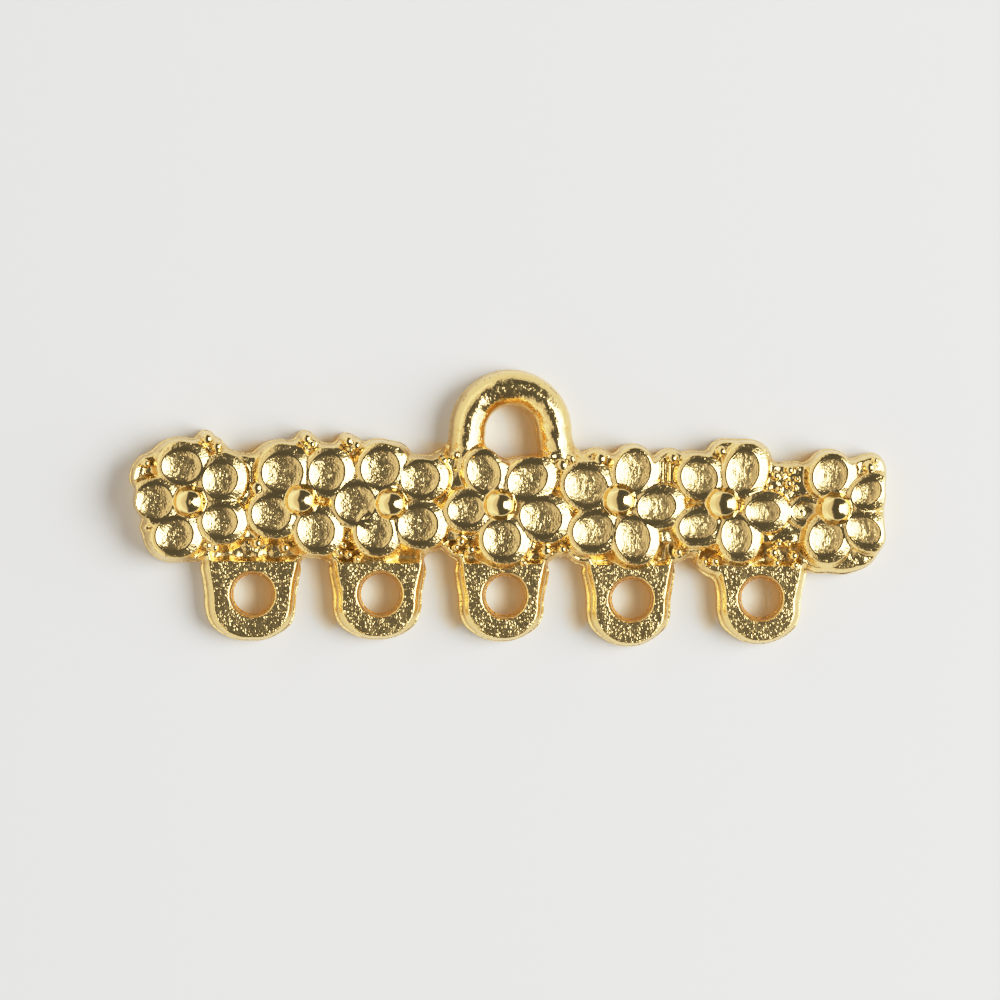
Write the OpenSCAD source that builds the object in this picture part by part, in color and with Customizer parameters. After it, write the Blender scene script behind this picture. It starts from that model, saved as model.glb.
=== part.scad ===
// Five-strand connector for a necklace or bracelet: one flat-backed casting with a row of seven five-petal flowers,
// five holed tabs for the strands below and one loop for the clasp above. It lies on its back, with +X along the row,
// +Y towards the loop and +Z up out of the flowers.

/* [Strip] */
// Length of the whole connector
strip_l = 30; // [29.5:0.1:30.5]
// Height of the ground between the flowers
ground_h = 1.3; // [1.1:0.05:1.4]
// Width of the strip behind the flowers
strip_w = 3.9; // [3.6:0.1:4.1]

/* [Flowers] */
// Height of the petals' rims
petal_h = 1.75; // [1.6:0.05:1.9]
// Depth of the hollow in a petal
hollow_depth = 0.26; // [0.15:0.01:0.35]
// Width of the rim round a hollow
rim_w = 0.11; // [0.08:0.01:0.15]
// How far a petal's outer wall leans out down to the back
petal_draft = 0.12; // [0.05:0.01:0.2]
// Height of the pips
pip_h = 2.3; // [2.1:0.05:2.4]
// Radius of the pips
pip_r = 0.62; // [0.5:0.01:0.65]

/* [Strand tabs] */
// Radius of a strand hole
hole_r = 0.8; // [0.7:0.05:0.85]
// How much wider a strand hole is where it opens in the tab's face
mouth_flare = 0.14; // [0.05:0.01:0.18]
// Thickness of a tab
tab_h = 1.15; // [1:0.05:1.2]
// How far a tab's wall leans out from its face to the back
tab_draft = 0.24; // [0.05:0.01:0.3]
// Radius of a tab's lower corners
tab_corner = 1.35; // [1:0.05:1.5]
// Distance from the middle of the row to the longest tab's lower edge
tab_reach = 5.4; // [5.3:0.05:5.6]

/* [Loop] */
// Radius of the hole in the loop
eye_r = 1; // [0.9:0.05:1.1]
// Outer radius of the loop
loop_r = 2.35; // [2.2:0.05:2.45]
// Height of the loop's crest
loop_h = 1.55; // [1.4:0.05:1.7]
// Distance from the middle of the row to the loop's top edge
loop_reach = 5.4; // [5.3:0.05:5.6]

/* [Hidden] */
$fn = 48;

GOLD = [0.83, 0.68, 0.33];
// Height up to which each hole has an upright wall
throat_h = 0.7;
// How much wider the loop's hole is at the height of the crest
eye_flare = 0.2;
eye_y = loop_reach - loop_r;
pad_h = ground_h + 0.1;
middle_h = petal_h - 0.15;
through = 10;
slack = 0.2;

// Flowers: place of the pip, rise above petal_h, then the petals.
// A petal: direction from the pip in degrees, distance from the pip, radius of its hollow, radius of its pad.
FLOWERS = [
    [-12.68, 0.30, 0.00, [[103, 1.43, 0.70, 1.00], [37, 1.50, 0.68, 0.92], [328, 1.43, 0.65, 0.88],
                          [246, 1.43, 0.68, 0.95], [180, 1.40, 0.72, 0.80]]],
    [-8.28, 0.40, 0.02, [[126, 1.32, 0.76, 1.02], [48, 1.46, 0.72, 0.98], [205, 1.32, 0.72, 0.98],
                         [297, 1.32, 0.72, 1.00]]],
    [-4.70, 0.30, 0.05, [[109, 1.48, 0.75, 1.02], [43, 1.48, 0.70, 0.98], [321, 1.30, 0.73, 1.02],
                         [238, 1.30, 0.70, 0.98], [180, 1.46, 0.76, 0.96]]],
    [-0.40, 0.28, 0.02, [[119, 1.44, 0.71, 0.98], [44, 1.44, 0.73, 1.00], [343, 1.65, 0.74, 0.98],
                         [272, 1.36, 0.72, 1.00], [189, 1.37, 0.65, 0.94]]],
    [4.32, 0.50, 0.00, [[159, 1.48, 0.78, 1.02], [67, 1.23, 0.74, 1.00], [350, 1.44, 0.68, 1.00],
                        [288, 1.58, 0.73, 1.02], [228, 1.60, 0.72, 0.98]]],
    [8.43, 0.45, 0.04, [[136, 1.38, 0.72, 0.96], [59, 1.43, 0.76, 1.02], [347, 1.59, 0.62, 0.96],
                        [291, 1.43, 0.68, 0.98], [222, 1.39, 0.66, 0.92]]],
    [12.85, 0.30, 0.00, [[101, 1.33, 0.69, 0.98], [26, 1.32, 0.56, 0.92], [321, 1.41, 0.62, 0.92],
                         [252, 1.27, 0.67, 0.98], [184, 1.31, 0.60, 0.86]]]
];

// Strand tabs: place of the hole, half the width at the back, how much shorter than the longest one
TABS = [
    [-10.14, -3.44, 1.82, 0.12],
    [-5.11, -3.39, 1.76, 0.20],
    [-0.18, -3.42, 1.70, 0.15],
    [4.82, -3.52, 1.68, 0.00],
    [9.95, -3.44, 1.68, 0.15]
];

// Lobes of the ground that fill out the strip's edge: place, radius, rise above the ground.
// They are the shoulder and foot of the left end, the ledge over the sixth flower, and the right end's shoulder and foot.
LOBES = [
    [-13.75, 1.05, 1.00, 0.00],
    [-13.40, -0.70, 1.15, 0.04],
    [8.95, 1.75, 1.10, 0.12],
    [13.90, 1.30, 1.00, 0.08],
    [13.35, -1.30, 1.10, 0.02]
];

// Granules: place, radius
GRANULES = [
    [-12.00, 2.78, 0.26], [-11.64, 2.46, 0.24], [-14.30, 1.72, 0.22], [-14.28, -0.80, 0.18],
    [-10.04, 0.85, 0.28], [-10.85, 0.05, 0.22], [-11.80, -1.48, 0.18], [-9.99, -1.32, 0.20],
    [-8.88, -1.49, 0.18], [-8.09, 2.78, 0.27], [-8.30, 2.35, 0.20], [-8.14, 1.82, 0.18],
    [-6.45, 2.70, 0.28], [-6.15, 2.48, 0.20], [-4.40, 2.25, 0.22], [-6.73, -1.62, 0.18],
    [-6.30, -1.80, 0.22], [-2.65, 1.95, 0.20], [-2.22, 2.15, 0.22], [-1.96, -1.19, 0.20],
    [-1.57, -1.50, 0.22], [-2.27, -1.62, 0.18], [1.59, 2.15, 0.22], [2.36, 2.08, 0.22],
    [0.85, -1.36, 0.18], [1.40, -1.52, 0.28], [2.11, -1.55, 0.22], [3.50, 2.05, 0.30],
    [6.37, 2.00, 0.26], [6.63, -1.53, 0.20], [8.20, 2.30, 0.24], [10.96, 1.21, 0.24],
    [11.01, 1.68, 0.20], [10.46, 1.48, 0.20], [10.40, -1.52, 0.22], [11.21, -1.60, 0.20],
    [8.05, -1.80, 0.22], [14.17, 1.80, 0.34], [14.45, 2.05, 0.20]
];

// A point at distance d from the pip of flower f, in the direction a
function from_pip(f, a, d) = [f[0] + d * cos(a), f[1] + d * sin(a)];

// Radius of the sphere that leaves a dish of the given depth and rim radius in a flat face
function dish_radius(rim, depth) = (rim * rim + depth * depth) / (2 * depth);

// The flat bar behind the flowers, with its lobes; the end lobes are longer than the bar
module strip() {
    color(GOLD) {
        translate([1.6 - strip_l / 2, 0.05 - strip_w / 2, 0])
            cube([strip_l - 3, strip_w, ground_h]);
        for (g = LOBES)
            translate([g[0], g[1], 0])
                cylinder(h = ground_h + g[3], r1 = g[2] + petal_draft, r2 = g[2]);
    }
}

// One flower's petals before they are hollowed: each is a low pad and, on it, a rim that narrows upwards
module petals(f) {
    rim_foot = pad_h - 0.2;
    color(GOLD) {
        for (p = f[3])
            translate(from_pip(f, p[0], p[1])) {
                cylinder(h = pad_h + f[2], r1 = p[3] + petal_draft, r2 = p[3]);
                translate([0, 0, rim_foot])
                    cylinder(h = petal_h + f[2] - rim_foot, r1 = p[3] - 0.04, r2 = p[2] + rim_w);
            }
        translate([f[0], f[1], 0])
            cylinder(h = middle_h, r = 0.8);
    }
}

// The dishes that hollow one flower's petals
module hollows(f) {
    for (p = f[3])
        let (r = dish_radius(p[2], hollow_depth))
            translate(concat(from_pip(f, p[0], p[1]), petal_h + f[2] - hollow_depth + r))
                sphere(r = r);
}

// The round pip in the middle of one flower
module pip(f) {
    color(GOLD)
        translate([f[0], f[1], pip_h - pip_r])
            sphere(r = pip_r);
}

// One bead of metal that stands half clear of the ground, on a foot that runs down to the back
module granule(g) {
    bead_z = ground_h + g[2] / 2;
    color(GOLD)
        translate([g[0], g[1], 0]) {
            cylinder(h = bead_z, r1 = g[2] + 0.04, r2 = g[2] - 0.03);
            translate([0, 0, bead_z])
                sphere(r = g[2]);
        }
}

// A block with leaning long sides: w and l at the back, both less by 2 * lean at the height h
module leaning_block(w, l, h, lean) {
    translate([0, l / 2, 0])
        rotate([90, 0, 0])
            linear_extrude(height = l)
                polygon([[-w / 2, 0], [w / 2, 0], [w / 2 - lean, h], [lean - w / 2, h]]);
}

// One U-shaped tab with leaning walls, which runs up under the flowers
module tab(t) {
    flat = t[2] - tab_corner;
    end_y = t[3] - tab_reach;
    corner_y = end_y + tab_corner;
    color(GOLD)
        translate([t[0], 0, 0]) {
            for (side = [-1, 1])
                translate([side * flat, corner_y, 0])
                    cylinder(h = tab_h, r1 = tab_corner, r2 = tab_corner - tab_draft);
            translate([0, corner_y / 2, 0])
                leaning_block(2 * t[2], -corner_y, tab_h, tab_draft);
            translate([0, corner_y, 0])
                rotate(90)
                    leaning_block(2 * tab_corner, 2 * flat, tab_h, tab_draft);
        }
}

// A round hole: upright up to throat_h, and from there wider by flare at the height face_h
module flared_hole(r, flare, face_h) {
    mouth_h = face_h + slack - throat_h;
    translate([0, 0, -slack])
        cylinder(h = throat_h + slack, r = r);
    translate([0, 0, throat_h])
        cylinder(h = mouth_h, r1 = r, r2 = r + flare * mouth_h / (face_h - throat_h));
}

// The hole through one tab
module strand_hole(t) {
    translate([t[0], t[1], 0])
        flared_hole(hole_r, mouth_flare, tab_h);
}

// The arched loop: a ring with a rounded crest, on two feet that run down into the flowers
module loop() {
    color(GOLD) {
        translate([0, eye_y, 0])
            rotate_extrude()
                loop_section();
        for (side = [-1, 1])
            translate([side * (loop_r - 0.55), eye_y - 0.75, 0])
                cylinder(h = loop_h - 0.2, r1 = 0.78, r2 = 0.5);
    }
}

// Section of the loop beside its hole: an upright inner wall, a round crest and a leaning outer wall
module loop_section() {
    crest = 0.4;
    mid = (eye_r + loop_r) / 2 - 0.03;
    polygon([
        [eye_r, 0], [loop_r, 0], [loop_r, 0.25],
        for (a = [20:20:160]) [mid + crest * cos(a), loop_h - crest + crest * sin(a)],
        [eye_r, throat_h]
    ]);
}

// The hole through the loop, which also trims what the flowers would leave in it
module loop_hole() {
    translate([0, eye_y, 0])
        flared_hole(eye_r, eye_flare, petal_h);
}

// The cut that leaves the last flower's outer petals with a straight edge
module end_cut() {
    translate([strip_l / 2, -through, -slack])
        cube([through, 2 * through, through]);
}

module connector() {
    color(GOLD)
        difference() {
            union() {
                difference() {
                    union() {
                        strip();
                        loop();
                        for (t = TABS) tab(t);
                        for (f = FLOWERS) petals(f);
                    }
                    for (f = FLOWERS) hollows(f);
                }
                for (f = FLOWERS) pip(f);
                for (g = GRANULES) granule(g);
            }
            for (t = TABS) strand_hole(t);
            loop_hole();
            end_cut();
        }
}

connector();
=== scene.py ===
"""The five-strand connector as photographed: a gold-plated casting on pale paper, lit from the right.

The casting is one closed mesh. Seen from above it is a plan, a field that is positive inside the outline and
zero on the upper edge of the side wall, and on the plan stands a relief, a height at every point. Both are
joined from the casting's own forms: strip, petals, pips, granules, loop and tabs. Lengths are in millimetres
until the mesh is made.
"""

import math

import bpy
import numpy as np
from mathutils import Matrix, Vector
from mathutils.geometry import delaunay_2d_cdt


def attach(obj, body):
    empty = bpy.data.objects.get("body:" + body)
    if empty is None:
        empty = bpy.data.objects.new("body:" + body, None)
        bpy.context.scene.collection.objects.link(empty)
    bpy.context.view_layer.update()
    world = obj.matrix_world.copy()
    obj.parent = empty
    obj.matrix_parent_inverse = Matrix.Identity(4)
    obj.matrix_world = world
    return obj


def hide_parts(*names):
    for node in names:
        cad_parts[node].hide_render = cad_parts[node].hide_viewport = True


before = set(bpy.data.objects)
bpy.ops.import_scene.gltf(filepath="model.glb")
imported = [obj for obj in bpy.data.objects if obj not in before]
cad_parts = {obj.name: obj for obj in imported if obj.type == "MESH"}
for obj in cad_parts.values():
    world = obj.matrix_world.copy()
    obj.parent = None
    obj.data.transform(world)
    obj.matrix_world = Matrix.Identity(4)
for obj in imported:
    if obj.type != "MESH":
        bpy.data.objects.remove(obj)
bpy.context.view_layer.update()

MM = 0.001

# Heights above the back
GROUND_H = 1.32
RIM_H = 1.75
PIP_TOP = 2.28
COLLAR_H = 1.76
TAB_H = 1.15
LOOP_H = 1.50
LOOP_FALL = 0.62

# A petal's hollow: depths of its lip and of the bowl inside the lip, and the power of the lip's curve
DISH_DEPTH = 0.06
BOWL_DEPTH = 0.11
DISH_POWER = 7.0

# A petal outside its hollow: width of the flat crest, width and steepness of the slope beside it, what the
# right side adds to that width and takes off that steepness, and steepness of the drop beyond
CREST_W = 0.05
NEAR_W = 0.14
NEAR_SLOPE = 0.62
EAST_W = 0.21
EAST_EASE = 0.20
FAR_SLOPE = 2.4

# A pip's button: its radius and the steepness of its flank
BUTTON_R = 0.44
PIP_FLANK = 1.9

# The trough above the tabs: y of its middle, half its width, its depth, and the x between which it fades out
TROUGH_Y = -1.68
TROUGH_HALF = 0.46
TROUGH_DEPTH = 0.36
TROUGH_END = (11.4, 12.0)

# The side wall: how far its foot lies outside its upper edge on strip, tabs, loop, eye, holes and left end
WALL_DRAFT = 0.14
TAB_DRAFT = 0.30
LOOP_DRAFT = 0.06
EYE_DRAFT = 0.05
THROAT_DRAFT = 0.13
END_DRAFT = 0.01

# Petals: x and y of the dish's middle, half length, half width, direction of the length in degrees, reach of
# the foot, fall towards the right
PETALS = [
    (-13.00, 1.58, 0.77, 0.65, 0, 0.36, -0.02),
    (-11.48, 1.08, 0.70, 0.65, 45, 0.38, 0.05),
    (-11.47, -0.57, 0.67, 0.63, 0, 0.27, 0.03),
    (-13.26, -1.12, 0.73, 0.65, 20, 0.24, 0.01),
    (-14.08, 0.18, 0.74, 0.71, 0, 0.00, -0.02),
    (-9.04, 1.36, 0.79, 0.75, 0, 0.42, -0.01),
    (-7.29, 1.38, 0.76, 0.68, 70, 0.26, -0.01),
    (-9.46, -0.26, 0.75, 0.69, 0, 0.27, -0.03),
    (-7.69, -0.88, 0.74, 0.70, 120, 0.27, 0.03),
    (-5.19, 1.57, 0.77, 0.73, 60, 0.27, -0.01),
    (-3.61, 1.18, 0.75, 0.67, 20, 0.12, -0.03),
    (-3.69, -0.63, 0.77, 0.71, 0, 0.25, -0.02),
    (-5.38, -0.91, 0.72, 0.68, 100, 0.27, 0.00),
    (-6.16, 0.17, 0.79, 0.75, 0, 0.25, -0.04),
    (-1.10, 1.44, 0.77, 0.62, 110, 0.22, -0.04),
    (0.63, 1.17, 0.82, 0.65, 35, 0.22, 0.02),
    (1.17, -0.31, 0.82, 0.70, 160, 0.27, 0.00),
    (-0.36, -1.17, 0.74, 0.72, 90, 0.25, 0.00),
    (-1.76, -0.04, 0.72, 0.59, 10, 0.27, 0.00),
    (2.94, 0.93, 0.85, 0.73, 160, 0.25, 0.02),
    (4.80, 1.55, 0.83, 0.66, 75, 0.12, 0.03),
    (5.74, 0.16, 0.75, 0.61, 10, 0.25, 0.04),
    (4.81, -1.09, 0.81, 0.66, 100, 0.25, 0.02),
    (3.24, -0.80, 0.80, 0.66, 20, 0.27, 0.03),
    (7.42, 1.31, 0.72, 0.66, 150, 0.25, 0.03),
    (9.13, 1.57, 0.84, 0.62, 75, 0.28, 0.04),
    (9.95, -0.01, 0.67, 0.51, 0, 0.29, 0.05),
    (8.92, -0.98, 0.74, 0.58, 100, 0.29, 0.03),
    (7.40, -0.58, 0.75, 0.55, 15, 0.28, 0.03),
    (12.60, 1.45, 0.74, 0.65, 60, 0.18, 0.03),
    (14.04, 0.77, 0.62, 0.46, 35, 0.22, 0.01),
    (13.94, -0.71, 0.70, 0.54, 150, 0.22, 0.03),
    (12.47, -1.02, 0.70, 0.64, 60, 0.32, 0.04),
    (11.66, 0.00, 0.55, 0.43, 0, 0.22, 0.05),
]

# How far the seventh flower's left petal, the last of the list, lies below the others
LOW_BY = 0.26

# Pips: x, y, radius of the button's curve, radius of the collar, fall towards the right
PIPS = [
    (-12.67, 0.19, 0.64, 0.63, 0.00),
    (-8.27, 0.29, 0.62, 0.63, 0.02),
    (-4.70, 0.18, 0.60, 0.61, 0.04),
    (-0.40, 0.18, 0.62, 0.62, 0.06),
    (4.33, 0.40, 0.68, 0.62, 0.07),
    (8.43, 0.30, 0.74, 0.63, 0.08),
    (12.88, 0.14, 0.72, 0.64, 0.08),
]

# Lobes of the ground that fill out its edge: x, y, radius, rise above the ground
LOBES = [
    (-13.98, 1.10, 0.88, -0.15), (-13.20, -0.95, 1.10, 0.00), (-12.40, -1.42, 0.64, 0.00),
    (-12.00, 2.12, 0.55, 0.00), (-11.60, 1.98, 0.40, 0.00), (-10.60, 1.20, 0.80, 0.00),
    (-8.05, 2.10, 0.62, 0.00), (-6.40, 2.05, 0.60, 0.00), (-4.50, 1.95, 0.50, 0.00),
    (-2.60, 1.75, 0.45, 0.00), (2.45, 1.70, 0.45, 0.00), (3.45, 1.62, 0.68, 0.00),
    (6.35, 1.65, 0.66, 0.00), (7.05, 1.40, 0.60, 0.00), (8.55, 2.05, 0.68, 0.06),
    (9.55, 1.95, 0.72, 0.06), (14.00, 1.25, 0.80, 0.06), (14.35, 1.75, 0.40, 0.06),
    (13.75, -1.35, 0.80, 0.04), (13.15, -1.55, 0.72, 0.04), (12.30, -1.30, 0.95, 0.00),
    (8.20, -1.95, 0.46, 0.00), (7.80, -1.80, 0.38, 0.00), (7.00, -1.10, 0.55, 0.00),
    (6.60, -1.50, 0.42, 0.00), (2.90, -1.55, 0.50, 0.00), (2.00, -1.15, 0.55, 0.00),
    (1.35, -1.55, 0.42, 0.00), (-2.05, -1.45, 0.40, 0.00), (-3.35, -1.15, 0.50, 0.00),
    (-7.00, -1.55, 0.48, 0.00), (-8.45, -1.60, 0.42, 0.00),
]

# Strand tabs: x and y of the hole, x of the middle, half the width at the back, y of the lower edge
TABS = [
    (-10.14, -3.44, -10.16, 1.82, -5.29),
    (-5.11, -3.39, -5.16, 1.76, -5.20),
    (-0.18, -3.42, -0.25, 1.70, -5.24),
    (4.82, -3.52, 4.78, 1.68, -5.40),
    (9.95, -3.44, 9.96, 1.68, -5.26),
]

# Every tab: y where its face begins, radius of its lower corners, widening towards the strip, radius of its
# hole's mouth
FACE_TOP = -2.14
TAB_CORNER = 1.30
TAB_FLARE = 0.24
MOUTH_R = 0.90

# Granules: x, y, radius
GRANULES = [
    (-12.00, 2.66, 0.24), (-11.62, 2.36, 0.22), (-14.38, 1.68, 0.16), (-14.33, -0.84, 0.13),
    (-10.04, 0.75, 0.26), (-10.85, -0.03, 0.17), (-11.94, -1.54, 0.14), (-11.66, -1.62, 0.15),
    (-9.99, -1.42, 0.19), (-8.88, -1.59, 0.19), (-8.09, 2.70, 0.22), (-7.89, 2.48, 0.17),
    (-8.30, 2.28, 0.16), (-8.14, 1.72, 0.14), (-6.45, 2.62, 0.22), (-6.13, 2.46, 0.20),
    (-6.35, 2.28, 0.14), (-4.38, 2.28, 0.13), (-4.41, 2.00, 0.12), (-6.73, -1.77, 0.14),
    (-6.37, -1.84, 0.15), (-6.05, -2.02, 0.13), (-6.55, -1.49, 0.12), (-2.65, 1.90, 0.15),
    (-2.22, 2.12, 0.18), (-1.96, -1.29, 0.19), (-1.57, -1.60, 0.20), (-2.15, -1.52, 0.13),
    (1.59, 2.10, 0.18), (1.99, 1.76, 0.26), (2.36, 2.02, 0.17), (0.85, -1.46, 0.16),
    (1.40, -1.62, 0.24), (2.05, -1.55, 0.18), (0.54, -2.10, 0.13), (3.50, 2.01, 0.28),
    (6.37, 2.07, 0.22), (6.63, -1.63, 0.18), (8.31, 2.35, 0.20), (10.96, 1.11, 0.17),
    (11.01, 1.63, 0.18), (10.46, 1.42, 0.18), (10.40, -1.62, 0.20), (10.53, -2.02, 0.15),
    (11.21, -1.73, 0.18), (8.09, -1.98, 0.17), (7.68, -2.00, 0.13), (14.17, 1.77, 0.24),
    (14.42, 2.05, 0.14), (11.28, -2.10, 0.15), (11.00, -1.27, 0.13), (10.60, -1.27, 0.15),
    (7.70, -1.45, 0.09), (7.95, -1.38, 0.09), (10.20, 0.95, 0.12), (10.62, 0.88, 0.11),
    (11.30, 1.30, 0.12), (11.22, 0.92, 0.12), (10.75, 1.45, 0.10), (11.32, 1.75, 0.10),
]

# Ribs between flowers: x and y of both ends, height of the crest above the ground
RIBS = [
    (5.98, 1.20, 5.98, 1.95, 0.28),
    (6.25, 1.15, 6.25, 1.80, 0.25),
]
RIB_SLOPE = 2.0

# The clasp loop: middle of its arch, radius of the crest line, half width of the band, y where its limbs end,
# how much the left limb splays for each millimetre down, and how many times as much the right one does
LOOP_X = 0.05
LOOP_Y = 3.06
CREST_R = 1.69
BAND_HALF = 0.67
LIMB_END = 1.5
LIMB_SPLAY = 0.10
RIGHT_SPLAY = 1.7

# The loop's eye: its radius, y of its floor, radius of its lower corners
EYE_R = 1.01
EYE_FLOOR = 1.86
EYE_CORNER = 0.3

# The strip: x of its ends, y of its edges, x of the cut through its right end
STRIP_X = (-14.0, 14.75)
STRIP_Y = (-1.45, 1.80)
END_X = 14.83

# Widths over which the outline is rounded where a form joins it or cuts into it
LOBE_BLEND = 0.3
LOOP_BLEND = 0.3
PETAL_BLEND = 0.22
GRANULE_BLEND = 0.15
TAB_BLEND = 0.25
CUT_BLEND = 0.15
EYE_BLEND = 0.1
MOUTH_BLEND = 0.05

# Widths over which the relief is rounded where a form stands up from what is below it
LOOP_FILLET = 0.06
RIB_FILLET = 0.05
PETAL_FILLET = 0.03
GRANULE_FILLET = 0.03
PIP_FILLET = 0.04

# Shares of cast grain. A petal's slope and its dish add theirs to the crest's, creases hide some of the
# dish's, and the shoulder keeps its share of the grain beside it.
GROUND_GRAIN = 0.45
TROUGH_GRAIN = 0.3
FACE_GRAIN = 0.9
LOOP_GRAIN = 0.55
CREST_GRAIN = 0.12
SLOPE_GRAIN = 0.68
DISH_GRAIN = 0.85
HIDDEN_GRAIN = 0.35
GRANULE_GRAIN = 0.05
PIP_GRAIN = 0.12
SHOULDER_GRAIN = 0.8
WALL_GRAIN = 0.6

# The mesh: step of the grid over the plan, inset of the grid's border, insets of the rings on the shoulder,
# radius of the shoulder
GRID = 0.052
GRID_INSET = 0.05
SHOULDER = [0.028, 0.010, 0.0]
EDGE_ROUND = 0.06

# The wall's profile from its upper edge down: share of the draft, share of the height. The step half way down
# is the seam.
WALL = [
    (0.22, 0.94), (0.42, 0.84), (0.56, 0.72), (0.64, 0.58), (0.67, 0.505), (0.86, 0.50),
    (0.95, 0.45), (1.00, 0.20), (1.00, 0.06), (0.90, 0.00),
]

# How deep the shoulder and the wall lie below what is round them, as the painted shade in hollows reads it
SHOULDER_HOLLOW = -0.05
WALL_HOLLOW = 0.02

# The paper: how far it reaches, and the step of its finer cells near the connector
PAPER_REACH = 3000
PAPER_STEP = 0.15

# The painted golden glow on the paper: distances at which it looks for the connector, and half the width of
# the glow's edge
GLOW_STEPS = (0.15, 0.4, 0.65, 0.9, 1.1)
GLOW_EDGE = 0.15


def smooth_max(a, b, band):
    """The larger of two fields, with the crease between them rounded over a band.

    It is the larger one plus a quarter of the band times the square of 1 - |a - b| / band.
    """
    share = np.clip(1 - np.abs(a - b) / band, 0, None)
    return np.maximum(a, b) + share * share * band / 4


def smooth_min(a, b, band):
    """The smaller of two fields, with the crease between them rounded over a band."""
    return -smooth_max(-a, -b, band)


def smooth_step(low, high, value):
    """0 below low and 1 above high, and 3t^2 - 2t^3 between them."""
    t = np.clip((value - low) / (high - low), 0, 1)
    return t * t * (3 - 2 * t)


def join(field, x, y, middle_x, middle_y, reach, band, form):
    """Joins a form onto a field within reach of the form's middle, with the crease rounded over a band."""
    near = (np.abs(x - middle_x) < reach) & (np.abs(y - middle_y) < reach)
    field[near] = smooth_max(field[near], form(x[near], y[near]), band)


def oval(x, y, middle_x, middle_y, a, b, turn):
    """Place k in units of an oval's half axes, and distance from its edge.

    The distance is k - 1 over the length of k's gradient.
    """
    c = math.cos(math.radians(turn))
    s = math.sin(math.radians(turn))
    u = (x - middle_x) * c + (y - middle_y) * s
    v = (y - middle_y) * c - (x - middle_x) * s
    k = np.hypot(u / a, v / b)
    return k, k * (k - 1) / np.maximum(np.hypot(u / a**2, v / b**2), 1e-6)


def ripple(x, y, wavelength, seed, stretch=1.0, waves=9):
    """A smooth uneven surface of height about 1: a sum of sine waves in random directions.

    The waves are about one wavelength long along x, and stretch times that along y.
    """
    draw = np.random.default_rng(seed)
    angle = draw.uniform(0, 2 * math.pi, waves)
    number = 2 * math.pi / (wavelength * draw.uniform(0.7, 1.5, waves))
    phase = draw.uniform(0, 2 * math.pi, waves)
    total = np.zeros_like(x)
    for a, n, p in zip(angle, number, phase):
        total += np.sin(n * (x * math.cos(a) + y / stretch * math.sin(a)) + p)
    return total / math.sqrt(waves)


def rounded_box(x, y, middle_x, low_y, high_y, half_x, radius):
    """Inset from the edge of an upright box with round corners, positive inside."""
    half_y = (high_y - low_y) / 2
    dx = np.abs(x - middle_x) - (half_x - radius)
    dy = np.abs(y - (low_y + high_y) / 2) - (half_y - radius)
    outside = np.hypot(np.clip(dx, 0, None), np.clip(dy, 0, None))
    return radius - outside - np.minimum(np.maximum(dx, dy), 0)


def loop_offset(x, y):
    """Distance outwards from the loop's crest line: an arc, and two limbs that splay a little below it."""
    dx = np.abs(x - LOOP_X)
    arch = np.hypot(dx, y - LOOP_Y) - CREST_R
    limb = dx - CREST_R - np.where(x > LOOP_X, RIGHT_SPLAY, 1.0) * LIMB_SPLAY * (LOOP_Y - y)
    return np.where(y > LOOP_Y, arch, limb)


def tab_face(x, y, tab):
    """Inset from the edge of a tab's face: a U with round lower corners and uneven, flaring sides."""
    _, _, middle, half, low = tab
    hidden_top = 0.6
    flare = TAB_FLARE * smooth_step(-3.6, -2.0, y) + 0.014 * ripple(x, y, 1.3, seed=8)
    return rounded_box(x, y, middle, low + WALL_DRAFT, hidden_top, half - TAB_DRAFT + flare, TAB_CORNER)


def loop_band(x, y):
    """Inset from the edge of the loop's band, which ends inside the strip."""
    return smooth_min(BAND_HALF - np.abs(loop_offset(x, y)), y - LIMB_END, 0.2)


def loop_eye(x, y):
    """Inset from the edge of the loop's eye: round above, and with smaller corners below."""
    upper = rounded_box(x, y, LOOP_X, EYE_FLOOR, LOOP_Y + EYE_R, EYE_R, EYE_R - 0.02)
    lower = rounded_box(x, y, LOOP_X, EYE_FLOOR, LOOP_Y, EYE_R, EYE_CORNER)
    return smooth_max(upper, lower, EYE_BLEND)


def plan(x, y):
    """Inset from the upper edge of the side wall: positive on the casting and negative outside it."""
    field = rounded_box(x, y, sum(STRIP_X) / 2, *STRIP_Y, (STRIP_X[1] - STRIP_X[0]) / 2, 0.6)
    for lx, ly, r, _ in LOBES:
        join(field, x, y, lx, ly, r + 0.6, LOBE_BLEND, lambda x, y: r - np.hypot(x - lx, y - ly))
    field = smooth_max(field, loop_band(x, y), LOOP_BLEND)
    field = smooth_min(field, -loop_eye(x, y), EYE_BLEND)
    for petal in PETALS:
        px, py, a, _, _, foot, _ = petal
        join(field, x, y, px, py, a + 0.9, PETAL_BLEND, lambda x, y: foot - oval(x, y, *petal[:5])[1])
    for gx, gy, r in GRANULES:
        join(field, x, y, gx, gy, r + 0.5, GRANULE_BLEND, lambda x, y: r - 0.02 - np.hypot(x - gx, y - gy))
    for tab in TABS:
        join(field, x, y, tab[2], -2.5, 3.6, TAB_BLEND, lambda x, y: tab_face(x, y, tab))
    field = smooth_min(field, END_X + 0.05 * np.sin(4.2 * y + 0.6) - x, CUT_BLEND)
    for hx, hy, *_ in TABS:
        field = smooth_min(field, np.hypot(x - hx, y - hy) - MOUTH_R, MOUTH_BLEND)
    return field


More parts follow.
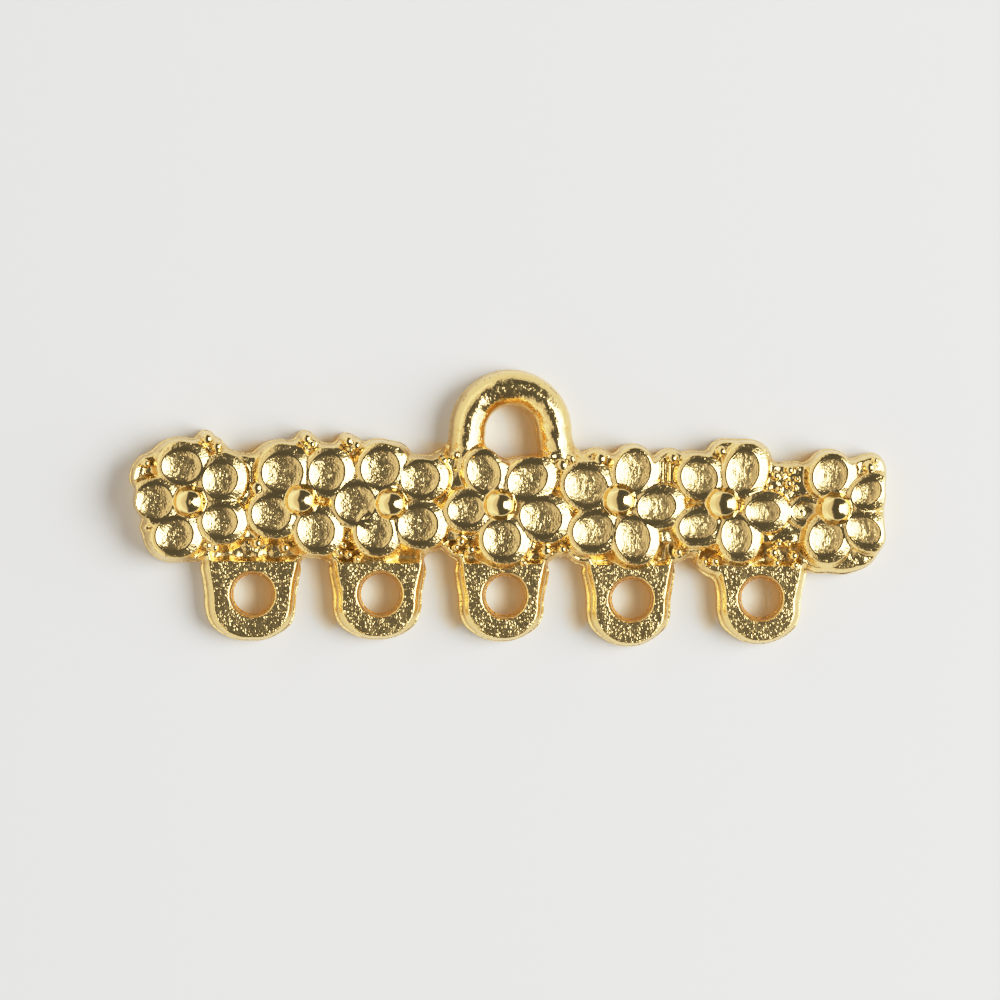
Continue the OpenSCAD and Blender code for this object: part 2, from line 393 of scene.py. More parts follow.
def petal_height(x, y, petal):
    """The height of a petal: a hollow, a flat crest outside its edge, a slope, and a steep drop beyond.

    The hollow is a shallow bowl, 1 - k^2, inside a steep lip, 1 - k^DISH_POWER. The slope is wider and
    gentler on the right, and wider above and below where the foot is long. All of it falls to the right by
    the lean.
    """
    px, py, _, _, _, foot, lean = petal
    k, d = oval(x, y, *petal[:5])
    hollow = np.clip(1 - k**DISH_POWER, 0, 1)
    floor = RIM_H - hollow * (DISH_DEPTH + BOWL_DEPTH * (1 - k**2) + 0.006 * ripple(x, y, 0.36, seed=11))
    away = np.maximum(np.hypot(x - px, y - py), 1e-6)
    east = np.clip((x - px) / away, 0, 1)
    out = np.clip(d - CREST_W, 0, None)
    wide = NEAR_W + EAST_W * east + max(foot - NEAR_W - 0.06, 0) * ((y - py) / away) ** 2
    fall = (NEAR_SLOPE - EAST_EASE * east) * np.minimum(out, wide) + FAR_SLOPE * np.clip(out - wide, 0, None)
    return np.where(d < 0, floor, RIM_H - fall) - lean * (x - px)


def granule_height(x, y, granule):
    """The height of a granule: the upper half of a ball, and far below everything outside it."""
    gx, gy, r = granule
    d = np.hypot(x - gx, y - gy)
    top = GROUND_H + 1.45 * r
    return np.where(d < r, top - r + np.sqrt(np.clip(r**2 - d**2, 0, None)), -1.0)


def pip_height(x, y, pip):
    """The height of a pip: a round button with a steep flank, on a collar of 45 degrees with a steep edge.

    Flank and collar are gentler on the left. The button falls to the right by the pip's lean, and the middle
    of the collar lies left of the button's by as much.
    """
    px, py, r, collar_r, lean = pip
    d = np.hypot(x - px, y - py)
    west = np.clip((px - x) / np.maximum(d, 1e-6), 0, 1)
    curve = PIP_TOP - r + np.sqrt(r**2 - np.minimum(d, BUTTON_R) ** 2)
    button = curve - (PIP_FLANK - 1.1 * west) * np.clip(d - BUTTON_R, 0, None) - lean * (x - px)
    out = np.hypot(x - px + lean, y - py)
    collar = COLLAR_H + (1 - 0.35 * west) * (collar_r - out)
    return np.minimum(smooth_max(button, collar, PIP_FILLET), COLLAR_H - 4 * (out - collar_r))


def rib_height(x, y, rib):
    """The height of a rib: it falls on both sides with the distance from the line between its ends."""
    x0, y0, x1, y1, rise = rib
    along = ((x - x0) * (x1 - x0) + (y - y0) * (y1 - y0)) / ((x1 - x0) ** 2 + (y1 - y0) ** 2)
    along = np.clip(along, 0, 1)
    away = np.hypot(x - x0 - along * (x1 - x0), y - y0 - along * (y1 - y0))
    return GROUND_H + rise - RIB_SLOPE * away


def loop_height(x, y):
    """The height of the loop: a bow that is LOOP_H high on the crest and LOOP_FALL lower at the band's edges.

    It falls by 0.8 s^2 + 0.2 s^6 of that, with s from 0 on the crest to 1 at an edge. The crest lies off the
    middle of the band, outwards, and least on the right.
    """
    offset = loop_offset(x, y)
    shift = 0.08 - 0.08 * np.clip((x - LOOP_X) / CREST_R, -1, 1)
    away = offset - shift
    s = np.clip(np.where(away > 0, away / (BAND_HALF - shift), -away / (BAND_HALF + shift)), 0, 1)
    return LOOP_H - LOOP_FALL * (0.8 * s**2 + 0.2 * s**6) + 0.012 * ripple(x, y, 0.5, seed=21)


def ground_height(x, y, inset):
    """The height between the forms: uneven ground with the trough in it, and the tabs' flat faces below."""
    ground = GROUND_H + 0.030 * ripple(x, y, 0.9, seed=3) + 0.016 * ripple(x, y, 0.38, seed=4)
    for lx, ly, r, rise in LOBES:
        ground += rise * smooth_step(r + 0.1, r - 0.2, np.hypot(x - lx, y - ly))
    across = (y - TROUGH_Y) / TROUGH_HALF
    begins, ends = TROUGH_END
    deep = np.clip(1 - across**4, 0, 1) * smooth_step(0.05, 0.25, inset) * smooth_step(ends, begins, x)
    ground -= deep * (TROUGH_DEPTH + 0.025 * ripple(x, y, 0.42, seed=6, stretch=1.6))
    face = TAB_H + 0.006 * ripple(x, y, 0.7, seed=5)
    return np.where(y > FACE_TOP, ground + (TAB_H - GROUND_H) * smooth_step(-1.4, FACE_TOP, y), face)


def relief(x, y):
    """Height above the back, share of cast grain and share of creases at each point.

    The height is that of the highest form there, with fillets where forms meet. Creases grow from the fourth
    flower on, to the right.
    """
    inset = plan(x, y)
    top = ground_height(x, y, inset)
    grain = np.where(y < FACE_TOP, FACE_GRAIN, GROUND_GRAIN + TROUGH_GRAIN * smooth_step(-1.1, -1.4, y))
    over_loop = smooth_step(1.95, 2.35, y) * smooth_step(2.75, 2.45, np.abs(x - LOOP_X))
    top = np.maximum(top - 0.9 * over_loop, 0.3)
    on_loop = (np.abs(loop_offset(x, y)) < BAND_HALF) & (y > LIMB_END)
    top[on_loop] = smooth_max(top[on_loop], loop_height(x[on_loop], y[on_loop]), LOOP_FILLET)
    grain[on_loop] = LOOP_GRAIN
    for rib in RIBS:
        join(top, x, y, rib[0], rib[1], 1.2, RIB_FILLET, lambda x, y: rib_height(x, y, rib))
    crinkle = np.zeros_like(x)
    for petal in PETALS:
        px, py, a = petal[:3]
        near = (np.abs(x - px) < a + 0.8) & (np.abs(y - py) < a + 0.8)
        form = petal_height(x[near], y[near], petal) - (LOW_BY if petal is PETALS[-1] else 0)
        d = oval(x[near], y[near], *petal[:5])[1]
        mine = form > top[near]
        dish = smooth_step(-0.02, -0.12, d)
        creased = 0.3 + 0.7 * smooth_step(0.0, 2.5, px)
        outside = CREST_GRAIN + SLOPE_GRAIN * smooth_step(0.06, 0.16, d)
        grain[near] = np.where(mine, outside + dish * (DISH_GRAIN - HIDDEN_GRAIN * creased), grain[near])
        crinkle[near] = np.where(mine, dish * creased, crinkle[near])
        top[near] = smooth_max(top[near], form, PETAL_FILLET)
    for granule in GRANULES:
        gx, gy, r = granule
        join(top, x, y, gx, gy, r + 0.1, GRANULE_FILLET, lambda x, y: granule_height(x, y, granule))
        grain[np.hypot(x - gx, y - gy) < r] = GRANULE_GRAIN
    for pip in PIPS:
        px, py, _, collar_r, lean = pip
        join(top, x, y, px, py, collar_r + 0.4, PIP_FILLET, lambda x, y: pip_height(x, y, pip))
        on_pip = np.hypot(x - px + lean, y - py) < collar_r + 0.04
        grain[on_pip] = PIP_GRAIN
        crinkle[on_pip] = 0
    corner = np.clip(EDGE_ROUND - inset, 0, EDGE_ROUND)
    return top - (EDGE_ROUND - np.sqrt(EDGE_ROUND**2 - corner**2)), grain, crinkle


def slope_of(field, x, y, step=0.004):
    """The gradient of a field, from central differences."""
    gx = (field(x + step, y) - field(x - step, y)) / (2 * step)
    gy = (field(x, y + step) - field(x, y - step)) / (2 * step)
    return gx, gy


def slide_to(level, x, y, rounds=3, reach=0.12, field=plan):
    """Moves points along a field's gradient until the field is level there, each round by at most reach."""
    for _ in range(rounds):
        gx, gy = slope_of(field, x, y)
        length = np.maximum(gx * gx + gy * gy, 0.04)
        move = np.clip((level - field(x, y)) / np.sqrt(length), -reach, reach) / np.sqrt(length)
        x = x + move * gx
        y = y + move * gy
    return x, y


def draft(x, y):
    """How far the wall's foot lies outside its upper edge: most on the tabs, and least at the left end."""
    amount = WALL_DRAFT + (TAB_DRAFT - WALL_DRAFT) * smooth_step(-2.0, -2.5, y) * smooth_step(-5.1, -4.3, y)
    for hx, hy, *_ in TABS:
        away = np.hypot(x - hx, y - hy)
        throat = THROAT_DRAFT * (1 - 0.6 * (x - hx) / np.maximum(away, 0.1))
        amount = amount + (throat - amount) * smooth_step(1.25, 1.05, away)
    from_arch = np.hypot(x - LOOP_X, y - LOOP_Y)
    eye = smooth_step(CREST_R + 0.1, CREST_R - 0.3, from_arch) * smooth_step(1.8, 2.2, y)
    loop = smooth_step(2.3, 2.7, y) * smooth_step(2.8, 2.6, np.abs(x - LOOP_X))
    amount = amount + (LOOP_DRAFT - amount) * loop
    amount = amount + (EYE_DRAFT - amount) * eye
    left = smooth_step(-14.2, -14.7, x) * smooth_step(0.9, 0.5, np.abs(y - 0.1))
    return amount + (END_DRAFT - amount) * left


def border_edges(faces):
    """The directed edges of triangles that no other triangle runs along the other way."""
    edges = np.concatenate([faces[:, [0, 1]], faces[:, [1, 2]], faces[:, [2, 0]]])
    size = faces.max() + 1
    return edges[~np.isin(edges[:, 0] * size + edges[:, 1], edges[:, 1] * size + edges[:, 0])]


def follow(level, x, y, after, before):
    """Moves closed rings of points onto a level of the plan, and evens out their spacing along it."""
    for _ in range(2):
        x, y = slide_to(level, x, y, 2)
        x = 0.5 * x + 0.25 * (x[after] + x[before])
        y = 0.5 * y + 0.25 * (y[after] + y[before])
    return slide_to(level, x, y, 2)


def smear(grid, half):
    """Mean of a grid over a square window of half steps to each side, from running sums along both axes."""
    for axis in (0, 1):
        pad = [(half + 1, half) if a == axis else (0, 0) for a in (0, 1)]
        run = np.cumsum(np.pad(grid, pad, mode="edge"), axis)
        low = run.take(range(grid.shape[axis]), axis)
        high = run.take(range(2 * half + 1, 2 * half + 1 + grid.shape[axis]), axis)
        grid = (high - low) / (2 * half + 1)
    return grid


def cell_corners(grid):
    """The values of a grid at the four corners of each of its cells, a row for each cell."""
    return np.stack([grid[:-1, :-1], grid[:-1, 1:], grid[1:, 1:], grid[1:, :-1]], -1).reshape(-1, 4)


def top_surface():
    """The upper surface: a grid over the plan, kept where the plan is at least GRID_INSET.

    Points within half a step of that level slide onto it, and points about as near a dish's edge slide onto
    the edge, so that outline and rims are smooth lines. Each cell is folded along the diagonal that spans
    less height, and a cell with one corner outside the border gives one triangle.
    """
    gx, gy = np.meshgrid(np.arange(-15.2, 15.2, GRID), np.arange(-5.6, 5.6, GRID))
    shape = gx.shape
    x = gx.ravel()
    y = gy.ravel()
    field = plan(x, y) - GRID_INSET
    near = np.abs(field) < 0.5 * GRID
    x[near], y[near] = slide_to(GRID_INSET, x[near], y[near])
    for petal in PETALS:
        close = np.nonzero((np.abs(x - petal[0]) < 1) & (np.abs(y - petal[1]) < 1) & (field > GRID))[0]
        close = close[np.abs(oval(x[close], y[close], *petal[:5])[1]) < 0.42 * GRID]
        x[close], y[close] = slide_to(0, x[close], y[close], 2, field=lambda x, y: oval(x, y, *petal[:5])[1])
    corners = cell_corners(np.arange(x.size).reshape(shape))
    states = cell_corners(np.where(near, 0, np.sign(field)).reshape(shape))
    usable = states >= 0
    inside = (states > 0).any(1) | (plan(x[corners].mean(1), y[corners].mean(1)) > GRID_INSET)
    quads = corners[usable.all(1) & inside]
    height, grain, crinkle = relief(x, y)
    hollow = smear(smear(height.reshape(shape), 4), 4).ravel() - height
    spans = np.abs(height[quads[:, [0, 1]]] - height[quads[:, [2, 3]]])
    fold = spans[:, 0] < spans[:, 1]
    first = np.where(fold[:, None], quads[:, [0, 1, 2]], quads[:, [0, 1, 3]])
    second = np.where(fold[:, None], quads[:, [0, 2, 3]], quads[:, [1, 2, 3]])
    three = usable.sum(1) == 3
    spare = np.argmin(usable[three], 1)[:, None]
    thirds = np.take_along_axis(corners[three], (spare + [[1, 2, 3]]) % 4, 1)
    some = np.take_along_axis(states[three], (spare + [[1, 2, 3]]) % 4, 1).any(1)
    some |= plan(x[thirds].mean(1), y[thirds].mean(1)) > GRID_INSET
    faces = np.concatenate([first, second, thirds[some]])
    for _ in range(4):
        pinched = np.bincount(border_edges(faces).ravel(), minlength=x.size) > 2
        faces = faces[~pinched[faces].any(1)]
    used, faces = np.unique(faces, return_inverse=True)
    return np.stack([x, y, height, grain, crinkle, hollow], 1)[used], faces.reshape(-1, 3)


def back_faces(last, edges):
    """Fills the last ring of points flat.

    Of all triangles between them, it keeps those that hold a border edge the ring's own way round, and those
    that lie inside the plan by more than their corners do and hold no border edge the other way round.
    """
    places = [Vector(point[:2]) for point in last.tolist()]
    _, _, back, *_ = delaunay_2d_cdt(places, edges.tolist(), [], 0, 1e-7, True)
    back = np.array(back)
    size = [len(last), 1]
    middle = last[back].mean(1)
    inner = plan(middle[:, 0], middle[:, 1]) > plan(last[:, 0], last[:, 1])[back].mean(1)
    sides = np.stack([back, np.roll(back, -1, 1)], -1)
    with_border = np.isin(sides @ size, edges @ size).any(1)
    against_border = np.isin(sides @ size[::-1], edges @ size).any(1)
    return back[with_border | (inner & ~against_border)][:, ::-1]


def casting_mesh():
    """The casting's points, with height, grain, creases and hollow, and the faces of its top, wall and back.

    From the border of the top, rings of points follow the plan's gradient outwards: first down the round
    shoulder and then down the wall's profile. The last ring is filled flat to make the back.
    """
    points, faces = top_surface()
    rim, edges = np.unique(border_edges(faces), return_inverse=True)
    edges = edges.reshape(-1, 2)
    a, b = edges.T
    after = np.empty(len(rim), int)
    before = np.empty(len(rim), int)
    after[a] = b
    before[b] = a
    x, y = points[rim, :2].T
    even = np.ones(len(rim))
    layers = [points]
    for inset in SHOULDER:
        x, y = follow(inset, x, y, after, before)
        height, grain, _ = relief(x, y)
        layers.append(np.stack([x, y, height, SHOULDER_GRAIN * grain, 0 * even, SHOULDER_HOLLOW * even], 1))
    lean = draft(x, y)
    for out_share, up_share in WALL:
        x, y = follow(-lean * out_share, x, y, after, before)
        layers.append(np.stack([x, y, height * up_share, WALL_GRAIN * even, 0 * even, WALL_HOLLOW * even], 1))
    rings = [rim] + [len(points) + i * len(rim) + np.arange(len(rim)) for i in range(len(layers) - 1)]
    pairs = zip(rings[:-1], rings[1:])
    walls = [np.stack([upper[b], upper[a], lower[a], lower[b]], 1) for upper, lower in pairs]
    back = back_faces(layers[-1], edges) + rings[-1][0]
    return np.concatenate(layers), faces, np.concatenate(walls), back


def make_casting():
    """The connector's mesh object, in metres at the origin, with a smooth skin and a flat back."""
    points, tops, walls, back = casting_mesh()
    mesh = bpy.data.meshes.new("connector_skin")
    mesh.from_pydata((points[:, :3] * MM).tolist(), [], tops.tolist() + walls.tolist() + back.tolist())
    smooth = len(tops) + len(walls)
    mesh.polygons.foreach_set("use_smooth", [True] * smooth + [False] * len(back))
    for name, column in (("grain", 3), ("crinkle", 4), ("hollow", 5)):
        mesh.attributes.new(name, "FLOAT", "POINT").data.foreach_set("value", points[:, column])
    mesh.update()
    mesh.validate()
    casting = bpy.data.objects.new("connector_skin", mesh)
    bpy.context.scene.collection.objects.link(casting)
    return casting


def add_node(tree, kind, place, **settings):
    """A new node in a tree, with its settings and, under the names of its inputs, their values or links."""
    node = tree.nodes.new(kind)
    node.location = (place[0] * 220, place[1] * -180)
    inputs = settings.pop("inputs", {})
    for name, value in settings.items():
        setattr(node, name, value)
    for name, value in inputs.items():
        if isinstance(value, bpy.types.NodeSocket):
            tree.links.new(value, node.inputs[name])
        else:
            node.inputs[name].default_value = value
    return node


def new_group(name, inputs, outputs):
    """An empty node group with named float, vector or colour sockets, and its input and output nodes."""
    group = bpy.data.node_groups.new(name, "ShaderNodeTree")
    for socket, kind in inputs:
        group.interface.new_socket(socket, in_out="INPUT", socket_type=kind)
    for socket, kind in outputs:
        group.interface.new_socket(socket, in_out="OUTPUT", socket_type=kind)
    return group, add_node(group, "NodeGroupInput", (0, 0)), add_node(group, "NodeGroupOutput", (8, 0))


def make_grain_group():
    """Cast skin: rounded pebbles of random height, a finer roughness on them, and creases mostly along Y."""
    group, given, result = new_group(
        "cast_grain",
        [("Vector", "NodeSocketVector"), ("Amount", "NodeSocketFloat"), ("Creases", "NodeSocketFloat"),
         ("Pebbles Per Metre", "NodeSocketFloat")],
        [("Height", "NodeSocketFloat")],
    )
    warp = add_node(
        group, "ShaderNodeTexNoise", (1, 1), inputs={"Vector": given.outputs["Vector"], "Scale": 4000.0},
    )
    moved = add_node(
        group, "ShaderNodeVectorMath", (2, 0), operation="MULTIPLY_ADD",
        inputs={0: warp.outputs["Color"], 1: (0.00006, 0.00006, 0.00006), 2: given.outputs["Vector"]},
    )
    cells = add_node(
        group, "ShaderNodeTexVoronoi", (3, 0), feature="SMOOTH_F1",
        inputs={"Vector": moved.outputs[0], "Scale": given.outputs["Pebbles Per Metre"], "Smoothness": 0.35},
    )
    crown = add_node(
        group, "ShaderNodeMath", (4, 0), operation="MULTIPLY_ADD",
        inputs={0: cells.outputs["Distance"], 1: -1.0, 2: 1.0},
    )
    split = add_node(group, "ShaderNodeSeparateColor", (4, 1), inputs={"Color": cells.outputs["Color"]})
    lot = add_node(group, "ShaderNodeMath", (5, 1), operation="POWER", inputs={0: split.outputs[0], 1: 1.6})
    pebble = add_node(
        group, "ShaderNodeMath", (6, 0), operation="MULTIPLY",
        inputs={0: crown.outputs[0], 1: lot.outputs[0]},
    )
    fine = add_node(
        group, "ShaderNodeTexNoise", (4, 2),
        inputs={"Vector": given.outputs["Vector"], "Scale": 14000.0, "Detail": 2.0},
    )
    both = add_node(
        group, "ShaderNodeMath", (7, 0), operation="MULTIPLY_ADD",
        inputs={0: fine.outputs["Fac"], 1: 0.35, 2: pebble.outputs[0]},
    )
    height = add_node(
        group, "ShaderNodeMath", (7, 1), operation="MULTIPLY",
        inputs={0: both.outputs[0], 1: given.outputs["Amount"]},
    )
    squeezed = add_node(
        group, "ShaderNodeVectorMath", (2, 3), operation="MULTIPLY",
        inputs={0: given.outputs["Vector"], 1: (1.0, 0.45, 1.0)},
    )
    folds = add_node(
        group, "ShaderNodeTexNoise", (3, 3),
        inputs={"Vector": squeezed.outputs[0], "Scale": 8000.0, "Detail": 2.0, "Distortion": 0.5},
    )
    swing = add_node(
        group, "ShaderNodeMath", (4, 3), operation="MULTIPLY_ADD",
        inputs={0: folds.outputs["Fac"], 1: 2.0, 2: -1.0},
    )
    ridge = add_node(group, "ShaderNodeMath", (5, 3), operation="ABSOLUTE", inputs={0: swing.outputs[0]})
    creases = add_node(
        group, "ShaderNodeMath", (6, 3), operation="MULTIPLY_ADD",
        inputs={0: ridge.outputs[0], 1: -0.9, 2: folds.outputs["Fac"]},
    )
    total = add_node(
        group, "ShaderNodeMath", (7, 2), operation="MULTIPLY_ADD",
        inputs={0: creases.outputs[0], 1: given.outputs["Creases"], 2: height.outputs[0]},
    )
    group.links.new(total.outputs[0], result.inputs["Height"])
    return group


def make_hollow_shade_group():
    """Painted shade in hollows: crevices are painted a darker colour in patches, and are duller there than
    the open metal.
    """
    group, given, result = new_group(
        "painted_hollow_shade",
        [("Vector", "NodeSocketVector"), ("Hollow", "NodeSocketFloat"), ("Metal", "NodeSocketColor"),
         ("Painted Shade", "NodeSocketColor"), ("Roughness", "NodeSocketFloat")],
        [("Color", "NodeSocketColor"), ("Roughness", "NodeSocketFloat")],
    )
    cloud = add_node(
        group, "ShaderNodeTexNoise", (1, 1),
        inputs={"Vector": given.outputs["Vector"], "Scale": 1500.0, "Detail": 3.0},
    )
    deep = add_node(
        group, "ShaderNodeMapRange", (2, 0), interpolation_type="SMOOTHSTEP",
        inputs={"Value": given.outputs["Hollow"], "From Min": 0.02, "From Max": 0.30},
    )
    share = add_node(
        group, "ShaderNodeMath", (3, 0), operation="MULTIPLY", use_clamp=True,
        inputs={0: deep.outputs[0], 1: cloud.outputs["Fac"]},
    )
    tint = add_node(
        group, "ShaderNodeMix", (4, 0), data_type="RGBA",
        inputs={"Factor": share.outputs[0], 6: given.outputs["Metal"], 7: given.outputs["Painted Shade"]},
    )
    dull = add_node(
        group, "ShaderNodeMath", (4, 1), operation="MULTIPLY_ADD",
        inputs={0: share.outputs[0], 1: 0.25, 2: given.outputs["Roughness"]},
    )
    patchy = add_node(
        group, "ShaderNodeMath", (5, 1), operation="MULTIPLY_ADD",
        inputs={0: cloud.outputs["Fac"], 1: 0.08, 2: dull.outputs[0]},
    )
    group.links.new(tint.outputs[2], result.inputs["Color"])
    group.links.new(patchy.outputs[0], result.inputs["Roughness"])
    return group


def gold_material():
    """Bright gold plating over a casting with a pebbled skin, duller where it is grained or creased."""
    material = bpy.data.materials.new("gold_plating")
    material.use_nodes = True
    tree = material.node_tree
    shader = tree.nodes["Principled BSDF"]
    place = add_node(tree, "ShaderNodeTexCoord", (-6, 0)).outputs["Object"]
    grain = add_node(tree, "ShaderNodeAttribute", (-6, 1), attribute_name="grain").outputs["Fac"]
    crinkle = add_node(tree, "ShaderNodeAttribute", (-6, 2), attribute_name="crinkle").outputs["Fac"]
    hollow = add_node(tree, "ShaderNodeAttribute", (-6, 3), attribute_name="hollow").outputs["Fac"]
    pebbles = add_node(
        tree, "ShaderNodeGroup", (-4, 1), node_tree=make_grain_group(),
        inputs={"Vector": place, "Amount": grain, "Creases": crinkle, "Pebbles Per Metre": 11000.0},
    )
    skin = add_node(
        tree, "ShaderNodeBump", (-2, 1), inputs={"Height": pebbles.outputs["Height"], "Distance": 0.000023},
    )
    dull = add_node(
        tree, "ShaderNodeMath", (-6, -1), operation="MULTIPLY_ADD", inputs={0: grain, 1: 0.11, 2: 0.08},
    )
    duller = add_node(
        tree, "ShaderNodeMath", (-5, 0), operation="MULTIPLY_ADD",
        inputs={0: crinkle, 1: 0.10, 2: dull.outputs[0]},
    )
    # Painted shade: the hollows are painted a darker colour in patches, and made rougher there.
    hollow_shade = add_node(
        tree, "ShaderNodeGroup", (-4, 0), node_tree=make_hollow_shade_group(),
        inputs={
            "Vector": place, "Hollow": hollow, "Roughness": duller.outputs[0],
            "Metal": (0.93, 0.655, 0.26, 1), "Painted Shade": (0.84, 0.60, 0.27, 1),
        },
    )
    tree.links.new(hollow_shade.outputs["Color"], shader.inputs["Base Color"])
    tree.links.new(hollow_shade.outputs["Roughness"], shader.inputs["Roughness"])
    tree.links.new(skin.outputs["Normal"], shader.inputs["Normal"])
    shader.inputs["Metallic"].default_value = 1.0
    return material


def glow(x, y):
    """Share of painted golden light on the paper: colour that stands for light which the plating's bright
    walls throw into the connector's shade.

    The shade has the connector within about 1.1 mm on its right, and the light comes from a wall within about
    2.2 mm on its left.
    """
    shade = np.zeros_like(x)
    bounce = np.zeros_like(x)
    for step in GLOW_STEPS:
        shade = np.maximum(shade, (1.1 - step / 1.3) * smooth_step(-GLOW_EDGE, GLOW_EDGE, plan(x + step, y)))
        bounce = np.maximum(bounce, smooth_step(-GLOW_EDGE, GLOW_EDGE, plan(x - 2 * step, y)))
    return shade * bounce


def paper_material():
    """The pale paper: it glows a little warm light of its own, a painted fill that lifts its shade, and it is
    painted golden in the glow, which stands for light bounced from the plating.
    """
    material = bpy.data.materials.new("pale_paper")
    material.use_nodes = True
    tree = material.node_tree
    shader = tree.nodes["Principled BSDF"]
    plain = (0.735, 0.755, 0.75, 1)
    # Painted bounce light: the paper's colour turns golden where the plating's walls would throw light into
    # shade.
    golden = (0.80, 0.50, 0.08, 1)
    share = add_node(tree, "ShaderNodeAttribute", (-2, 0), attribute_name="glow").outputs["Fac"]
    colour = add_node(
        tree, "ShaderNodeMix", (-1, 0), data_type="RGBA", inputs={"Factor": share, 6: plain, 7: golden},
    )
    tree.links.new(colour.outputs[2], shader.inputs["Base Color"])
    shader.inputs["Roughness"].default_value = 0.9
    # Painted fill light: the paper glows a little warm light of its own, which lifts its shade.
    shader.inputs["Emission Color"].default_value = (1.0, 0.76, 0.50, 1)
    shader.inputs["Emission Strength"].default_value = 0.06
    return material


def make_paper():
    """The sheet under the connector: a flat grid with finer cells near it, for the painted glow between its
    walls.
    """
    across = np.concatenate([[-PAPER_REACH], np.arange(-15.4, 15.5, PAPER_STEP), [PAPER_REACH]])
    along = np.concatenate([[-PAPER_REACH], np.arange(-5.6, 5.7, PAPER_STEP), [PAPER_REACH]])
    gx, gy = np.meshgrid(across, along)
    x = gx.ravel()
    y = gy.ravel()
    quads = cell_corners(np.arange(x.size).reshape(gx.shape))
    mesh = bpy.data.meshes.new("paper_floor")
    mesh.from_pydata((np.stack([x, y, 0 * x], 1) * MM).tolist(), [], quads.tolist())
    # The share of painted golden light, kept on each point of the paper.
    mesh.attributes.new("glow", "FLOAT", "POINT").data.foreach_set("value", glow(x, y))
    mesh.materials.append(paper_material())
    paper = bpy.data.objects.new("paper_floor", mesh)
    bpy.context.scene.collection.objects.link(paper)
    return paper


def panel(name, polar, azimuth, distance, half_polar, half_azimuth, radiance):
    """A rectangular light that faces the origin.

    Its angles, in degrees, are how far off the vertical and round from +X it stands, and how far it reaches
    each way from there.
    """
    light = bpy.data.lights.new(name, "AREA")
    light.shape = "RECTANGLE"
    light.size = 2 * distance * math.tan(math.radians(half_azimuth))
    light.size_y = 2 * distance * math.tan(math.radians(half_polar))
    light.energy = radiance * math.pi * light.size * light.size_y
    holder = bpy.data.objects.new(name, light)
    tilt = math.radians(polar)
    turn = math.radians(azimuth)
    direction = Vector((math.sin(tilt) * math.cos(turn), math.sin(tilt) * math.sin(turn), math.cos(tilt)))
    holder.location = direction * distance
    holder.rotation_euler = direction.to_track_quat("Z", "Y").to_euler()
    bpy.context.scene.collection.objects.link(holder)
    return holder


def make_room():
    """The room: dim overhead, a broad pale reflector on the left and round to both sides, and a pale horizon.

    The reflector fills the directions whose leftward part, plus 0.35 of their sideways part, is over about a
    half, and it is brighter towards its foot.
    """
    world = bpy.data.worlds.new("dim_room")
    bpy.context.scene.world = world
    world.use_nodes = True
    tree = world.node_tree
    toward = add_node(tree, "ShaderNodeTexCoord", (-7, 0)).outputs["Generated"]
    part = add_node(tree, "ShaderNodeSeparateXYZ", (-6, 0), inputs={0: toward})
    aside = add_node(tree, "ShaderNodeMath", (-5, 1), operation="ABSOLUTE", inputs={0: part.outputs["Y"]})
    reach = add_node(
        tree, "ShaderNodeMath", (-4, 1), operation="MULTIPLY", inputs={0: aside.outputs[0], 1: 0.35},
    )
    left = add_node(
        tree, "ShaderNodeMath", (-3, 0), operation="SUBTRACT",
        inputs={0: reach.outputs[0], 1: part.outputs["X"]},
    )
    sheet = add_node(
        tree, "ShaderNodeMapRange", (-2, 0), interpolation_type="SMOOTHSTEP",
        inputs={"Value": left.outputs[0], "From Min": 0.45, "From Max": 0.62, "To Min": 0.0, "To Max": 1.0},
    )
    foot = add_node(
        tree, "ShaderNodeMapRange", (-2, 2), interpolation_type="SMOOTHSTEP",
        inputs={
            "Value": part.outputs["Z"], "From Min": 0.60, "From Max": 0.15, "To Min": 0.70, "To Max": 1.3,
        },
    )
    bright = add_node(
        tree, "ShaderNodeMath", (-1, 1), operation="MULTIPLY",
        inputs={0: sheet.outputs[0], 1: foot.outputs[0]},
    )
    low = add_node(
        tree, "ShaderNodeMapRange", (-2, 1), interpolation_type="SMOOTHSTEP",
        inputs={
            "Value": part.outputs["Z"], "From Min": 0.12, "From Max": 0.02, "To Min": 0.07, "To Max": 0.65,
        },
    )
    both = add_node(
        tree, "ShaderNodeMath", (0, 0), operation="MAXIMUM", inputs={0: bright.outputs[0], 1: low.outputs[0]},
    )
    cool = (0.94, 1.0, 1.08, 1)
    warm = (1.0, 0.94, 0.88, 1)
    colour = add_node(
        tree, "ShaderNodeMix", (0, 1), data_type="RGBA",
        inputs={"Factor": sheet.outputs[0], 6: cool, 7: warm},
    )
    background = tree.nodes["Background"]
    tree.links.new(colour.outputs[2], background.inputs["Color"])
    tree.links.new(both.outputs[0], background.inputs["Strength"])


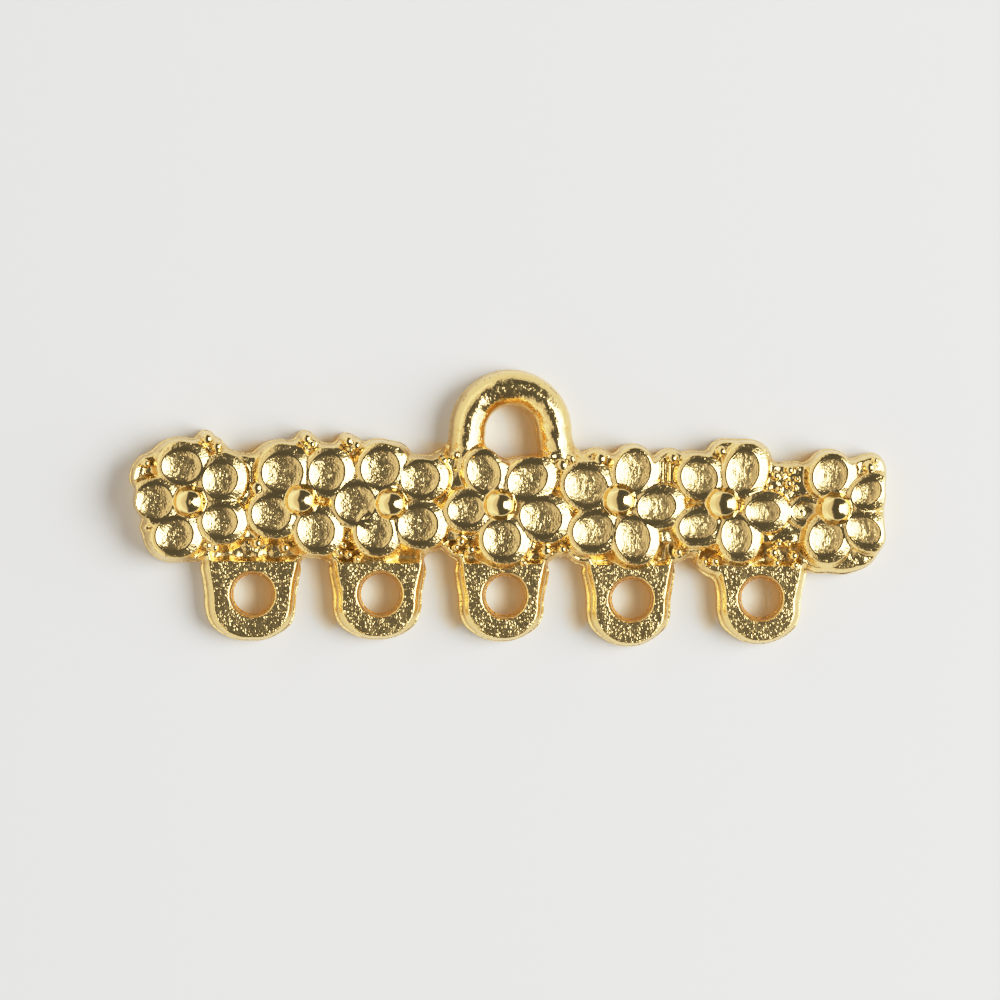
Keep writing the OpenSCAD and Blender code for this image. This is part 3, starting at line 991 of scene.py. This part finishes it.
def set_response():
    """The camera's response to light: nearly even up to the middle tones, and easing off above the paper's.

    It is gx / (1 + (gx)^3)^(1/3) of the light x, with a gain g.
    """
    gain = 1.3
    brightest = 8.0
    view = bpy.context.scene.view_settings
    view.view_transform = "Standard"
    view.use_curve_mapping = True
    view.curve_mapping.white_level = (brightest, brightest, brightest)
    points = view.curve_mapping.curves[3].points
    for light in (0.2, 0.35, 0.5, 0.6, 0.7, 0.8, 0.9, 1.0, 1.2, 1.5, 2.0, 3.0, 5.0):
        points.new(light / brightest, gain * light / (1 + (gain * light) ** 3) ** (1 / 3))
    for point in points:
        point.handle_type = "VECTOR"
    view.curve_mapping.update()


def make_camera():
    """The photograph's view: from above, a little from the left, with a long lens.

    The photograph's pixels span pixels / pixels_per_mm millimetres at the back's level, and the frame's
    origin falls on origin_pixel.
    """
    pixels = 1000
    middle_pixel = pixels / 2
    sensor = 36
    pixels_per_mm = 25.33
    origin_pixel = (508.0, 508.5)
    lean_left = 0.0787
    lean_up = 0.02
    roll = math.radians(0.5)
    distance = 0.45
    camera = bpy.data.cameras.new("photo_camera")
    camera.sensor_width = sensor
    camera.lens = sensor * distance / (pixels / pixels_per_mm * MM)
    camera.clip_start = 0.01
    camera.clip_end = 10
    right = Vector((math.cos(roll), math.sin(roll), 0))
    up = Vector((-math.sin(roll), math.cos(roll), 0))
    aim = right * (middle_pixel - origin_pixel[0]) + up * (origin_pixel[1] - middle_pixel)
    target = aim / pixels_per_mm * MM
    back = (up * lean_up - right * lean_left + Vector((0, 0, 1))).normalized()
    side = (right - back * right.dot(back)).normalized()
    matrix = Matrix((side, back.cross(side), back)).transposed().to_4x4()
    matrix.translation = target + back * distance
    holder = bpy.data.objects.new("photo_camera", camera)
    holder.matrix_world = matrix
    bpy.context.scene.collection.objects.link(holder)
    bpy.context.scene.camera = holder


make_camera()

casting = make_casting()
casting.data.materials.append(gold_material())
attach(casting, "root")
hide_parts("connector")

make_paper()

set_response()
make_room()
panel("right_softbox", polar=44, azimuth=0, distance=0.6, half_polar=16, half_azimuth=21, radiance=7.2)
panel("right_wing", polar=73, azimuth=0, distance=0.6, half_polar=14, half_azimuth=28, radiance=2.6)
